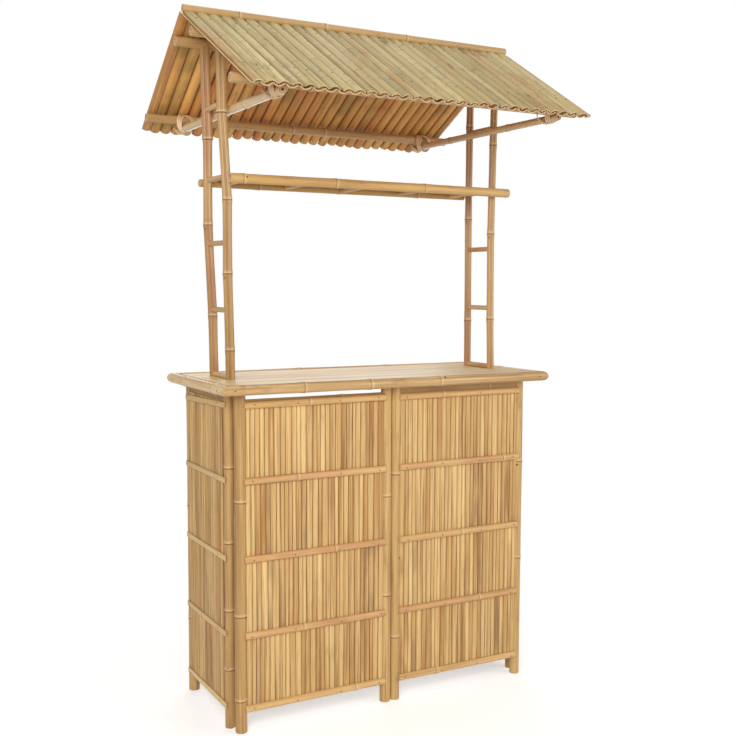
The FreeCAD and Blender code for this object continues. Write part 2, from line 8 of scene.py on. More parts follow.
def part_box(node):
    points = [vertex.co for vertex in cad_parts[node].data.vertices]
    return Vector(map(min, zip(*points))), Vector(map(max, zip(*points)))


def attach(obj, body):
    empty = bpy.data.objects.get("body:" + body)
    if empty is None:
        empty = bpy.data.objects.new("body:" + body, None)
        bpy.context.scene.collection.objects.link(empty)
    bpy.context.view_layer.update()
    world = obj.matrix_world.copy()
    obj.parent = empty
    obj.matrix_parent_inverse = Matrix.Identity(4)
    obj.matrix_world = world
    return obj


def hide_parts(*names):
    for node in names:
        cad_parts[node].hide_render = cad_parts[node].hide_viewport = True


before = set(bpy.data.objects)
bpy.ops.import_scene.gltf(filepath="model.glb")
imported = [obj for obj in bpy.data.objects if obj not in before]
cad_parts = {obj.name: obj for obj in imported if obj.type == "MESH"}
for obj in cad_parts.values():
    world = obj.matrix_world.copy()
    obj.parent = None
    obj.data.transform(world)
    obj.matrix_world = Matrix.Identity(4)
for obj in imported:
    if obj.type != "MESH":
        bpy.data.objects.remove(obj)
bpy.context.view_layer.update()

# Front posts
# Four straight bamboo poles stand on the ground in two pairs, one pair to each front panel.
# Each pole is a length of cane with its joint rings and bud scars left on, sawn square at both ends.
front_line = -0.224
post_top = 1.024
corner_x = 0.508
middle_left_x = -0.011
middle_right_x = 0.0245
node_rise = 0.0013
joint_room = 0.025
long_stretch = 0.1
bore_depth = 0.03
sawn_edge = 0.0009
sharp_above = 0.7
relief_depth = 0.0004


def shade(red, green, blue):
    """A colour from its usual 0 to 255 values, as the linear numbers that the shaders use."""
    parts = [value / 255 for value in (red, green, blue)]
    return (*[part / 12.92 if part <= 0.04045 else ((part + 0.055) / 1.055) ** 2.4 for part in parts], 1.0)


def add(tree, kind, inputs=(), **settings):
    """A node of a kind with its settings; an input is a value or the socket that feeds it."""
    node = tree.nodes.new(kind)
    for key, value in settings.items():
        setattr(node, key, value)
    for key, value in dict(inputs).items():
        if isinstance(value, bpy.types.NodeSocket):
            tree.links.new(value, node.inputs[key])
        else:
            node.inputs[key].default_value = value
    return node


def group(name, kind, inputs, outputs):
    """A node group, a function that adds a node and gives one of its outputs, and the group's inputs.
    A socket is named with its kind, or with the colour or the number that it starts from."""
    tree = bpy.data.node_groups.new(name, kind)
    for way, named in (("INPUT", inputs), ("OUTPUT", outputs)):
        for label, start in named.items():
            plain = isinstance(start, str)
            form = start if plain else "Color" if isinstance(start, tuple) else "Float"
            made = tree.interface.new_socket(label, in_out=way, socket_type="NodeSocket" + form)
            if not plain:
                made.default_value = shade(*start) if form == "Color" else start

    def node(kind, inputs=(), out=0, **settings):
        return add(tree, kind, inputs, **settings).outputs[out]

    return tree, node, add(tree, "NodeGroupInput").outputs


def finished(tree, node, given, geometry):
    """Ends a tree: its instances are made real and get the finish."""
    real = node("GeometryNodeRealizeInstances", {"Geometry": geometry})
    coat = node("GeometryNodeSetMaterial", {"Geometry": real, "Material": given["Finish"]})
    add(tree, "NodeGroupOutput", {0: coat})
    return tree


def cane_tree():
    """Draws a section along each line of points: line is a ring's centre, side and lift its half widths."""
    tree, node, given = group("Cane over its rings", "GeometryNodeTree", {
        "Geometry": "Geometry", "Section": "Object", "Closed Ends": "Bool", "Sharp Above": "Float",
        "Finish": "Material"}, {"Geometry": "Geometry"})

    def field(name, kind="FLOAT_VECTOR"):
        return node("GeometryNodeInputNamedAttribute", {"Name": name}, data_type=kind)

    def vector(operation, a, b, key=1):
        return node("ShaderNodeVectorMath", {0: a, key: b}, operation=operation)

    def sized(share, width):
        length = node("ShaderNodeVectorMath", {0: width}, "Value", operation="LENGTH")
        return node("ShaderNodeMath", {0: share, 1: length}, operation="MULTIPLY")

    outline = node("GeometryNodeObjectInfo", {"Object": given["Section"]}, "Geometry")
    loop = node("GeometryNodeMeshToCurve", {"Mesh": outline})
    lines = node("GeometryNodeMeshToCurve", {"Mesh": given["Geometry"]})
    made = node("GeometryNodeCurveToMesh", {
        "Curve": lines, "Profile Curve": loop, "Fill Caps": given["Closed Ends"]})
    place = add(tree, "ShaderNodeSeparateXYZ", {0: field("outline")}).outputs
    side = field("side")
    lift = field("lift")
    at = vector("ADD", field("line"), vector("SCALE", side, place["X"], "Scale"))
    at = vector("ADD", at, vector("SCALE", lift, place["Y"], "Scale"))
    made = node("GeometryNodeSetPosition", {"Geometry": made, "Position": at})
    grain = node("ShaderNodeCombineXYZ", {
        "X": sized(place["X"], side), "Y": sized(place["Y"], lift), "Z": field("reach", "FLOAT")})
    # edge carries each outline point's share of painted shade to the skin.
    for name, value, kind in (("grain", grain, "FLOAT_VECTOR"), ("edge", place["Z"], "FLOAT")):
        made = node("GeometryNodeStoreNamedAttribute", {"Geometry": made, "Name": name, "Value": value},
                    data_type=kind, domain="POINT")
    made = node("GeometryNodeMergeByDistance", {"Geometry": made, "Distance": 0.00001})
    angle = node("GeometryNodeInputMeshEdgeAngle")
    soft = node("FunctionNodeCompare", {"A": angle, "B": given["Sharp Above"]},
                data_type="FLOAT", operation="LESS_THAN")
    made = node("GeometryNodeSetShadeSmooth", {"Geometry": made, "Shade Smooth": soft}, domain="EDGE")
    return finished(tree, node, given, made)


cane_nodes = cane_tree()
sections = []


def linked(name, data):
    """A new object in the scene, at the origin."""
    made = bpy.data.objects.new(name, data)
    bpy.context.scene.collection.objects.link(made)
    return made


def section(name, points, edges=None):
    """A closed outline in units of the half widths, as a helper object for the tree.
    Edges say for each point how much painted shade it gets, on the flanks where canes meet and on a hollow
    side."""
    mesh = bpy.data.meshes.new(name)
    count = len(points)
    mesh.from_pydata([(x, y, 0) for x, y in points], [(i, (i + 1) % count) for i in range(count)], [])
    places = mesh.attributes.new("outline", "FLOAT_VECTOR", "POINT")
    for i, (x, y) in enumerate(points):
        places.data[i].vector = (x, y, edges[i] if edges else 0)
    sections.append(linked(name, mesh))
    return sections[-1]


def circle(count):
    """Points round a circle of radius 1."""
    return [(math.cos(2 * math.pi * i / count), math.sin(2 * math.pi * i / count)) for i in range(count)]


round_section = section("round section", circle(28))
thin_section = section("thin round section", circle(16))

wander = random.Random(5)
swell = ((-0.020, 0.0, 0.0), (-0.008, 0.35, 0.0), (-0.0030, 0.85, 0.0), (-0.0015, 0.55, 1.0),
         (0.0008, 0.55, 1.0), (0.0022, 1.0, -1.0), (0.0065, 0.7, -0.7), (0.012, 0.25, 0.0), (0.022, 0.0, 0.0))


def rings(start, end, half, joints=(), across=None, open_ends=(0.0, 0.0), cuts=(0.0, 0.0), kink=0.001,
          bows=None, girth=1.0):
    """The rings of one cane: centre, side, lift, place along, joint and cut shares, from start to end.
    joints are shares of its length, where it bends by up to kink; open_ends are the bores as shares of
    the half width, and cuts is how far each end leans. Below 0 a joint share is the pale rim beside it.
    Bows are known offsets along x at the start, each joint and the end; girth is the last stretch's."""
    start = Vector(start)
    run = Vector(end) - start
    length = run.length
    run.normalize()
    up = Vector((0, 0, 1)) if abs(run.z) < 0.9 else Vector((0, 1, 0))
    side = across or run.cross(up).normalized()
    lift = side.cross(run).normalized()
    edge = min(sawn_edge, half * 0.1)
    places = sorted(share * length for share in joints if joint_room < share * length < length - joint_room)
    marks = [0.0] + places + [length]
    bends = [side * wander.uniform(-kink, kink) + lift * wander.uniform(-kink, kink) for _ in marks]
    bends[0] = bends[-1] = Vector((0, 0, 0))
    if bows:
        bends = [Vector((bow, 0, 0)) for bow in bows]
    steps = [(edge, 1.0, 0, 0), (length - edge, 1.0, 0, 0)]
    for low, high in zip(marks, marks[1:]):
        if high - low > long_stretch:
            for share in (0.3, 0.7):
                steps.append((low + (high - low) * share, wander.uniform(0.975, 0.995), 0, 0))
    for mark in places:
        steps += [(mark + at, 1 + rise * node_rise / half, joint, 0) for at, rise, joint in swell]
    steps.sort()

    def sawn(at, inwards, bore):
        """From the edge of a sawn end to its middle, or down its bore to the wall of the next joint."""
        rim = [(at, 1 - edge / half, 0, 1)]
        deep = at + inwards * bore_depth
        if bore:
            # The bore's points get a cut of 2, which the skin paints with shade.
            return rim + [(at, bore, 0, 1), (deep, bore, 0, 2), (deep, 0.0, 0, 2)]
        return rim + [(at, 0.0, 0, 1)]

    def bend(at):
        for i, high in enumerate(marks[1:]):
            if at <= high:
                return bends[i].lerp(bends[i + 1], (at - marks[i]) / (high - marks[i]))
        return bends[-1]

    head = sawn(0.0, 1, open_ends[0])[::-1]
    last = len(head) + len(steps) - 1
    made = []
    for order, (at, size, joint, cut) in enumerate(head + steps + sawn(length, -1, open_ends[1])):
        lean = cuts[0] if order <= len(head) else cuts[1] if order >= last else 0.0
        centre = start + run * at + bend(at)
        if at > marks[-2]:
            size *= girth
        made.append((centre, (side + run * lean) * half * size, lift * half * size, at, joint, cut))
    return made


def signed_volume(mesh):
    mesh.calc_loop_triangles()
    total = 0.0
    for triangle in mesh.loop_triangles:
        a, b, c = (mesh.vertices[i].co for i in triangle.vertices)
        total += a.dot(b.cross(c))
    return total


def drawn(name, lines, tree, values, body, nodes=()):
    """The mesh that a tree draws on a helper mesh, as a plain piece that rides a body."""
    helper = linked(name + " lines", lines)
    modifier = helper.modifiers.new("drawn", "NODES")
    modifier.node_group = tree
    for item in tree.interface.items_tree:
        if item.in_out == "INPUT" and item.name in values:
            modifier[item.identifier] = values[item.name]
    plain = bpy.data.meshes.new_from_object(helper.evaluated_get(bpy.context.evaluated_depsgraph_get()))
    bpy.data.objects.remove(helper)
    plain.name = name
    if signed_volume(plain) < 0:
        plain.flip_normals()
    made = linked(name, plain)
    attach(made, body)
    if nodes:
        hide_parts(*nodes)


cane_seed = random.Random(7)


def grow(name, members, outline, finish, body, nodes=(), tones=None):
    """One piece out of many canes: a line of rings for each, drawn by the tree and made a plain mesh.
    A cane's tone picks its colour between the pale and the deep one of its finish. Lines that don't
    start at a point of no width get flat ends."""
    rows = []
    edges = []
    for order, member in enumerate(members):
        tone = tones[order] if tones else cane_seed.random()
        shift = cane_seed.random() * 40
        edges += [(i, i + 1) for i in range(len(rows), len(rows) + len(member) - 1)]
        rows += [(*ring[:3], ring[3] + shift, *ring[4:], tone) for ring in member]
    mesh = bpy.data.meshes.new(name)
    mesh.from_pydata([(0.01 * i, 0, 0) for i in range(len(rows))], edges, [])
    columns = list(zip(*rows))
    for key, column in zip(("line", "side", "lift"), columns):
        field = mesh.attributes.new(key, "FLOAT_VECTOR", "POINT")
        field.data.foreach_set("vector", [part for point in column for part in point])
    for key, column in zip(("reach", "joint", "cut", "tone"), columns[3:]):
        mesh.attributes.new(key, "FLOAT", "POINT").data.foreach_set("value", column)
    values = {"Section": outline, "Closed Ends": members[0][0][1].length > 0, "Sharp Above": sharp_above,
              "Finish": finish}
    drawn(name, mesh, cane_nodes, values, body, nodes)


def skin_group():
    """Bamboo skin: streaks along the grain, a tone for each cane, joint rings, stains and sawn ends, with
    painted shade on the marked flanks and hollows and down open bores.
    """
    # Edge is the colour of painted shade, not of the cane, and Edge Shade Share is how strong that painted
    # shade is.
    tree, node, given = group("Bamboo skin", "ShaderNodeTree", {
        "Pale": (226, 192, 136), "Deep": (196, 152, 98), "Warm": (196, 134, 86), "Cool": (158, 136, 112),
        "Stain": (150, 108, 66), "Joint": (112, 76, 44), "End": (232, 204, 158), "Edge": (118, 76, 40),
        "Streaks": 0.6, "Stains": 0.4, "Tone Spread": 1.0, "Warm Share": 0.15, "Cool Share": 0.05,
        "Joint Share": 0.75, "Bark Gloss": 0.34, "Edge Share": 0.8},
        {"Color": "Color", "Roughness": "Float", "Height": "Float"})

    def field(name, output="Fac"):
        return node("ShaderNodeAttribute", out=output, attribute_name=name)

    def mapped(scale, coordinates):
        return node("ShaderNodeMapping", {"Vector": coordinates, "Scale": scale})

    def noise(scale, detail=3.0, coordinates=None, rough=0.55):
        return node("ShaderNodeTexNoise", {"Vector": mapped(scale, coordinates or grain), "Scale": 1.0,
                                           "Detail": detail, "Roughness": rough})

    def spread(value, low, high, out_low=0.0, out_high=1.0):
        return node("ShaderNodeMapRange", {
            "Value": value, "From Min": low, "From Max": high, "To Min": out_low, "To Max": out_high})

    def chain(operation, values):
        total = values[0]
        for value in values[1:]:
            total = node("ShaderNodeMath", {0: total, 1: value}, operation=operation)
        return total

    def times(*values):
        return chain("MULTIPLY", values)

    def plus(*values):
        return chain("ADD", values)

    def drawn_from_tone(step):
        """A number from 0 to 1 for each cane; another step gives another draw."""
        return node("ShaderNodeMath", {0: times(tone, step)}, operation="FRACT")

    def over(share, base, top):
        return node("ShaderNodeMix", {"Factor": share, 6: base, 7: top}, 2, data_type="RGBA")

    def picked(step, share, stretch):
        """Some canes, by their tone, and only stretches along each of them."""
        chosen = node("ShaderNodeMath", {0: plus(drawn_from_tone(step), -1.0, share), 1: 9.0},
                      operation="MULTIPLY", use_clamp=True)
        return times(chosen, spread(noise((3, 3, stretch), 2.0), 0.40, 0.55))

    grain = field("grain", "Vector")
    tone = field("tone")
    joint = field("joint")
    cut = field("cut")
    place = add(tree, "ShaderNodeTexCoord").outputs["Object"]
    broad = spread(noise((28, 28, 1.5), 2.0), 0.37, 0.63)
    streak = noise((130, 130, 2.4), 3.0)
    fibre = noise((420, 420, 8), 4.0)
    stain = spread(noise((6, 6, 4), 4.0, place, 0.65), 0.52, 0.72)
    stain = times(stain, spread(noise((60, 60, 14), 3.0), 0.45, 0.65), given["Stains"])
    speck = node("ShaderNodeTexVoronoi", {"Vector": mapped((130, 130, 38), grain)}, "Distance")
    dots = times(spread(speck, 0.13, 0.06), given["Stains"])
    # Painted shade: flanks, cracks, furrows and hollows marked by the edge attribute are darkened towards the
    # Edge colour, more on some canes than on others.
    crack = times(field("edge"), given["Edge Share"], spread(drawn_from_tone(7.7), 0.0, 1.0, 0.55, 1.0),
                  spread(noise((5, 5, 9), 2.0), 0.35, 0.6, 0.65, 1.0))
    ragged = plus(joint, spread(noise((200, 200, 60), 2.0), 0.3, 0.7, -0.18, 0.18))
    line = spread(ragged, 0.25, 0.85)
    mixed = plus(times(broad, 0.42), times(tone, given["Tone Spread"], 0.62))
    colour = over(mixed, given["Pale"], given["Deep"])
    for share, name in (
            (times(picked(13.7, given["Warm Share"], 4.0), 0.85), "Warm"),
            (times(picked(29.3, given["Cool Share"], 5.0), 0.75), "Cool"),
            (times(spread(streak, 0.52, 0.70), given["Streaks"], 0.55), "Stain"),
            (times(spread(streak, 0.44, 0.30), given["Streaks"], 0.5), "Pale"),
            (times(spread(fibre, 0.48, 0.72), given["Streaks"], 0.35), "Stain"),
            (stain, "Stain"),
            (times(dots, 0.6), "Joint"),
            (crack, "Edge"),
            (times(spread(joint, -0.1, -0.9), 0.5), "End"),
            (times(line, given["Joint Share"]), "Joint")):
        colour = over(share, colour, given[name])
    end_grain = over(spread(noise((900, 900, 20), 2.0), 0.4, 0.7), given["End"], given["Stain"])
    colour = over(spread(cut, 0.3, 0.7), colour, end_grain)
    # Painted shade: the walls and floor of an open bore, whose cut is 2, are darkened to the Joint colour.
    colour = over(spread(cut, 1.1, 1.9), colour, given["Joint"])
    gloss = plus(given["Bark Gloss"], times(broad, 0.12), times(stain, 0.2), spread(cut, 0.3, 0.7, 0.0, 0.35))
    height = plus(times(fibre, 0.6), times(dots, -0.4), times(streak, 0.5), times(line, -0.5))
    add(tree, "NodeGroupOutput", {"Color": colour, "Roughness": gloss, "Height": height})
    return tree


bamboo_skin = skin_group()


def material(name):
    """A new material and its tree of nodes."""
    made = bpy.data.materials.new(name)
    made.use_nodes = True
    return made, made.node_tree


def surfaced(tree, colour, roughness, height, strength, values):
    """Feeds a material's surface with a colour, a roughness and a fine relief, and sets its plain values."""
    surface = tree.nodes["Principled BSDF"]
    bump = add(tree, "ShaderNodeBump", {"Height": height, "Strength": strength, "Distance": relief_depth})
    for key, value in (("Base Color", colour), ("Roughness", roughness), ("Normal", bump.outputs[0])):
        tree.links.new(value, surface.inputs[key])
    for key, value in values.items():
        surface.inputs[key].default_value = value


def bamboo(name, coat=0.1, shine=0.35, **values):
    """A finish of bamboo with its own colours and the colour of its painted edge shade; coat is its varnish
    and shine the gloss under it.
    """
    made, tree = material(name)
    skin = add(tree, "ShaderNodeGroup", node_tree=bamboo_skin)
    for key, value in values.items():
        start = shade(*value) if isinstance(value, tuple) else value
        skin.inputs[key.replace("_", " ").title()].default_value = start
    surfaced(tree, skin.outputs["Color"], skin.outputs["Roughness"], skin.outputs["Height"], 0.6, {
        "Coat Weight": coat, "Specular IOR Level": shine, "Coat Roughness": 0.25})
    return made


def worn(name, light, dark, metallic, rough, scale):
    """A plain finish, mottled between two colours and a little in its gloss."""
    made, tree = material(name)
    place = add(tree, "ShaderNodeTexCoord").outputs["Object"]
    mapped = add(tree, "ShaderNodeMapping", {"Vector": place, "Scale": scale}).outputs[0]
    mottle = add(tree, "ShaderNodeTexNoise", {"Vector": mapped, "Scale": 1.0, "Detail": 3.0}).outputs["Fac"]
    tint = add(tree, "ShaderNodeMix", {"Factor": mottle, 6: shade(*light), 7: shade(*dark)}, data_type="RGBA")
    gloss = add(tree, "ShaderNodeMapRange", {"Value": mottle, "To Min": rough - 0.1, "To Max": rough + 0.1})
    surfaced(tree, tint.outputs[2], gloss.outputs[0], mottle, 0.3, {"Metallic": metallic})
    return made


def heads_tree():
    """Sets a flattened ball on each point, turned to the attribute out: a nail's head or a bud scar."""
    tree, node, given = group("Heads on points", "GeometryNodeTree", {
        "Geometry": "Geometry", "Radius": "Float", "Height Share": "Float", "Finish": "Material"},
        {"Geometry": "Geometry"})
    facing = node("GeometryNodeInputNamedAttribute", {"Name": "out"}, data_type="FLOAT_VECTOR")
    turn = node("FunctionNodeAlignRotationToVector", {"Vector": facing}, axis="Z")
    ball = node("GeometryNodeMeshUVSphere", {"Segments": 8, "Rings": 4, "Radius": 1.0}, "Mesh")
    ball = node("GeometryNodeSetShadeSmooth", {"Geometry": ball})
    tall = node("ShaderNodeMath", {0: given["Radius"], 1: given["Height Share"]}, operation="MULTIPLY")
    size = node("ShaderNodeCombineXYZ", {"X": given["Radius"], "Y": given["Radius"], "Z": tall})
    placed = node("GeometryNodeInstanceOnPoints", {
        "Points": given["Geometry"], "Instance": ball, "Rotation": turn, "Scale": size})
    return finished(tree, node, given, placed)


heads_nodes = heads_tree()


def heads(name, spots, radius, height_share, finish, body):
    """A piece of round heads; each spot is a place and the way it faces."""
    mesh = bpy.data.meshes.new(name)
    mesh.from_pydata([at for at, out in spots], [], [])
    facing = mesh.attributes.new("out", "FLOAT_VECTOR", "POINT")
    facing.data.foreach_set("vector", [part for at, out in spots for part in out])
    values = {"Radius": radius, "Height Share": height_share, "Finish": finish}
    drawn(name, mesh, heads_nodes, values, body)


post_bamboo = bamboo(
    "post bamboo", pale=(226, 190, 126), deep=(180, 138, 84), warm_share=0.0, streaks=1.1, stains=0.7)
scar_skin = worn("bud scar skin", (156, 112, 66), (92, 60, 34), 0.0, 0.6, (700, 700, 700))
nail_steel = worn("nail steel", (104, 86, 64), (60, 46, 32), 0.6, 0.5, (900, 900, 900))


def post(x, y, top, diameter, joints):
    return rings((x, y, 0), (x, y, top), diameter / 2, joints)


front_posts = [
    post(-corner_x, front_line, post_top, 0.036, (0.095, 0.348, 0.685)),
    post(middle_left_x, front_line, post_top, 0.034, (0.342, 0.658)),
    post(middle_right_x, front_line, post_top, 0.031, (0.202, 0.724)),
    post(corner_x, front_line, post_top, 0.032, (0.4, 0.729))]
grow(
    "front_posts", front_posts, round_section, post_bamboo, "bar",
    ["front_left_corner_post", "front_left_middle_post",
     "front_right_middle_post", "front_right_corner_post"], tones=[0.95, 0.25, 0.1, 0.2])
post_scars = [((-0.498, -0.2385, 0.354), (0.6, -0.8, 0)), ((0.0345, -0.2355, 0.468), (0.7, -0.7, 0)),
              ((0.499, -0.2365, 0.735), (-0.6, -0.8, 0)), ((-0.016, -0.2395, 0.690), (-0.3, -0.95, 0))]
heads("post_bud_scars", post_scars, 0.0042, 0.35, scar_skin, "bar")

# Wing posts
# Each side wing is built between two posts of its own: one beside the front corner, one at the back.
# They are the same cane as the front posts and stop just under the counter top.
wings = ((-1, "left_wing"), (1, "right_wing"))
wing_post_top = 1.0235
wing_front_x = 0.5245
wing_front_line = -0.175
wing_rear_x = 0.5225
wing_rear_line = 0.161
wing_outer = 0.540
for side, name in wings:
    wing_posts = [
        post(side * wing_front_x, wing_front_line, wing_post_top, 0.031, (0.176, 0.354, 0.557, 0.78)),
        post(side * wing_rear_x, wing_rear_line, wing_post_top, 0.035, (0.24, 0.61))]
    grow(
        name + "_posts", wing_posts, round_section, post_bamboo, name,
        [name + "_front_post", name + "_rear_post"], tones=[0.85, 0.6])
    scar = ((side * 0.5355, wing_front_line - 0.0105, 0.187), (side * 0.7, -0.7, 0))
    heads(name + "_bud_scars", [scar], 0.0036, 0.35, scar_skin, name)

# Rails
# Thin poles split down the middle, nailed over the slats from both sides with their flats inwards.
# They lie at the front of the posts' round and are coped to it; the wings have them inside only.
panel_forward = 0.009
panel_line = front_line - panel_forward
rail_heights = (0.072, 0.296, 0.528, 0.764, 0.991)
rail_radius = 0.011
rail_inset = 0.009
nail_shares = (0.05, 0.35, 0.66, 0.95)
nail_proud = 0.0002
nail_radius = 0.0021
nail_height = 0.4
slat_half = 0.0025
left_rail_joints = (0.772, 0.395, 0.62, 0.354, 0.439)
right_rail_joints = (0.3, 0.66, 0.504, 0.86, 0.338)
split_bamboo = bamboo(
    "split pole bamboo", pale=(232, 192, 130), deep=(204, 158, 100), warm=(214, 160, 112), warm_share=0.4,
    joint_share=0.4, streaks=0.9, edge_share=0.6)
# The flat's outer corners get painted shade: a dark line where a rail meets the slats.
half_section = section("half round section", circle(24)[:13], [1.0, 0.4] + [0.0] * 9 + [0.4, 1.0])
chance = random.Random(11)
forward = Vector((0, -1, 0))


def stray(most):
    """A small error of the hand, either way."""
    return chance.uniform(-most, most)


def split_rail(start, end, outwards, joint, nails):
    """A split pole whose crown faces outwards; its nails sit a little off the middle of the crown."""
    start = Vector(start)
    end = Vector(end)
    run = (end - start).normalized()
    side = run.cross(outwards).normalized()
    if side.cross(run).dot(outwards) < 0:
        side = -side
    for share in nail_shares:
        at = start.lerp(end, share + stray(0.015)) + outwards * (rail_radius + nail_proud)
        nails.append((at + Vector((0, 0, stray(0.002))), outwards))
    return rings(start, end, rail_radius, (joint,), across=side, kink=0.0006)


def back_rails(first, last, outwards, lift, nails):
    """The rails behind the slats, between two places in plan; the top one lies a little higher."""
    return [split_rail((*first, z), (*last, z), outwards, chance.uniform(0.2, 0.8), nails)
            for z in rail_heights[:-1] + (rail_heights[-1] + lift,)]


rails = []
bar_nails = []
for left, right, joints, back_lift in (
        (-corner_x + rail_inset, middle_left_x - rail_inset, left_rail_joints, 0.007),
        (middle_right_x + rail_inset, corner_x - rail_inset, right_rail_joints, 0.020)):
    y = panel_line - slat_half
    for z, joint in zip(rail_heights, joints):
        rails.append(split_rail((left, y, z), (right, y, z + stray(0.0015)), forward, joint, bar_nails))
    y = panel_line + slat_half
    rails += back_rails((left, y), (right, y), -forward, back_lift, bar_nails)
grow(
    "front_rails", rails, half_section, split_bamboo, "bar",
    ["front_left_rails", "front_right_rails", "front_left_back_rails", "front_right_back_rails"])
wing_nails = {}
for side, name in wings:
    wing_nails[name] = []
    x = side * (wing_outer - 2 * slat_half)
    rails = back_rails((x, wing_front_line + 0.008), (x, wing_rear_line - 0.010), Vector((-side, 0, 0)),
                       0.020, wing_nails[name])
    grow(name + "_inner_rails", rails, half_section, split_bamboo, name, [name + "_back_rails"])

# Slats
# Narrow upright slats of split cane fill each bay between two rails, their bark side out.
# They are cut bay by bay, and each differs in width, lean and colour, with narrow cracks between them
# darkened by painted shade.
slat_pitch = 0.0165
slat_worn_end = 0.0008
seam_stray = 0.0012
post_cope = 0.0015
bay_gap = 0.001
slat_outline = [(-1, -1), (1, -1), (1, 0.0), (0.92, 0.45), (0.72, 0.8), (0.28, 1), (-0.28, 1), (-0.72, 0.8),
                (-0.92, 0.45), (-1, 0.0)]
# The flanks and back of each slat get painted shade, so that the cracks between slats read dark.
slat_section = section("slat section", slat_outline, [1, 1, 1, 0.7, 0.05, 0, 0, 0.05, 0.7, 1])
slat_bamboo = bamboo(
    "slat bamboo", pale=(242, 206, 142), deep=(188, 140, 80), warm=(198, 140, 90), cool=(152, 124, 102),
    stain=(136, 92, 48), edge=(100, 62, 28), edge_share=0.85, warm_share=0.14, cool_share=0.10, streaks=1.3,
    coat=0.05, shine=0.3, bark_gloss=0.45)
slat_ridge = ((-0.004, 1.0, 0), (-0.001, 1.12, 0.8), (0.001, 1.1, 0.6), (0.004, 1.0, 0))


def slat(start, end, side, lift, joint=None, end_side=None):
    """A straight slat, as wide as side at its start and end_side at its end; its joint is a low ridge."""
    start = Vector(start)
    side = Vector(side)
    run = Vector(end) - start
    length = run.length
    run.normalize()
    steps = [(0.0, 0.96, 0, 1), (slat_worn_end, 1.0, 0, 0), (length - slat_worn_end, 1.0, 0, 0),
             (length, 0.96, 0, 1)]
    if joint is not None:
        steps[2:2] = [(joint * length + off, size, dark, 0) for off, size, dark in slat_ridge]
    return [(start + run * at, side.lerp(end_side or side, at / length) * min(size, 1), Vector(lift) * size,
             at, dark, cut) for at, size, dark, cut in steps]


bays = [[low + bay_gap, high - bay_gap] for low, high in zip(rail_heights, rail_heights[1:])]
bays[0][0] -= rail_radius
bays[-1][1] += rail_radius


def slat_wall(first, last, to_place, side, lift):
    """Four bays of slats from first to last; to_place turns a place across and a height into a point."""
    made = []
    for low, high in bays:
        shares = [chance.uniform(0.68, 1.32) for _ in range(round((last - first) / slat_pitch))]
        unit = (last - first) / sum(shares)
        seam = first
        seams = [(first, first)]
        for share in shares[:-1]:
            seam += share * unit
            seams.append((seam + stray(seam_stray), seam + stray(seam_stray)))
        seams.append((last, last))
        for (foot, top), (next_foot, next_top) in zip(seams, seams[1:]):
            crack = chance.uniform(0.00005, 0.00015)
            back = lift * chance.uniform(-0.3, 0.0)
            made.append(slat(to_place((foot + next_foot) / 2, low) + back,
                             to_place((top + next_top) / 2, high) + back,
                             side * ((next_foot - foot) / 2 - crack), lift,
                             end_side=side * ((next_top - top) / 2 - crack)))
    return made


def beside(half):
    """How far from a front post's centre its slats start: just inside its round, which they are cut to."""
    return math.sqrt(half ** 2 - panel_forward ** 2) - post_cope


walls = []
for first, last in ((-corner_x + beside(0.018), middle_left_x - beside(0.017)),
                    (middle_right_x + beside(0.0155), corner_x - beside(0.016))):
    walls += slat_wall(first, last, lambda x, z: Vector((x, panel_line, z)), Vector((1, 0, 0)),
                       forward * slat_half)
grow(
    "front_slats", walls, slat_section, slat_bamboo, "bar",
    ["front_left_slats", "front_right_slats"])
for side, name in wings:
    x = side * (wing_outer - slat_half)
    wall = slat_wall(wing_front_line + 0.0135, wing_rear_line - 0.0155, lambda y, z: Vector((x, y, z)),
                     Vector((0, 1, 0)), Vector((side * slat_half, 0, 0)))
    grow(name + "_slats", wall, slat_section, slat_bamboo, name, [name + "_slats"])

# Wing strips
# Flat strips of cane run outside the wing slats from post to post, level with the rails.
# Small nails hold them, and the top one droops towards the back.
strip_half = 0.009
strip_thickness = 0.002
strip_droop = 0.010
strip_bamboo = bamboo(
    "strip bamboo", pale=(244, 212, 148), deep=(218, 178, 116), joint_share=0.35, edge_share=0.6, shine=0.3)
for side, name in wings:
    strips = []
    outwards = Vector((side, 0, 0))
    x = side * (wing_outer + strip_thickness)
    for z in rail_heights:
        droop = strip_droop if z == rail_heights[-1] else 0.0
        start = Vector((x, wing_front_line - 0.014, z + stray(0.001)))
        end = Vector((x, wing_rear_line - 0.002, z + stray(0.001) - droop))
        strips.append(slat(start, end, (0, 0, strip_half), outwards * strip_thickness,
                           chance.uniform(0.2, 0.8)))
        for share in (0.17, 0.95):
            nail = start.lerp(end, share + stray(0.02)) + outwards * (strip_thickness + nail_proud)
            wing_nails[name].append((nail + Vector((0, 0, chance.uniform(-0.004, 0.003))), outwards))
    grow(name + "_strips", strips, slat_section, strip_bamboo, name, [name + "_strips"])
    heads(name + "_nails", wing_nails[name], nail_radius, nail_height, nail_steel, name)

# Counter top poles
# Four thick pale poles frame the counter and meet at mitred corners, nailed from the outside.
# Their bark has been scraped and polished, so they are the lightest canes of the bar.
top_z = 1.040
top_half = 0.016
top_left = -0.568
top_right = 0.570
top_front = -0.274
top_rear = 0.209
top_bamboo = bamboo(
    "top pole bamboo", pale=(244, 212, 158), deep=(188, 148, 96), coat=0.15, bark_gloss=0.32, stains=0.9,
    streaks=1.0, warm_share=0.0, joint_share=0.55)


def mitred(start, end, joints):
    run = (end - start).normalized()
    return rings(start, end, top_half, joints, across=Vector((0, 0, 1)).cross(run), cuts=(1.0, -1.0))


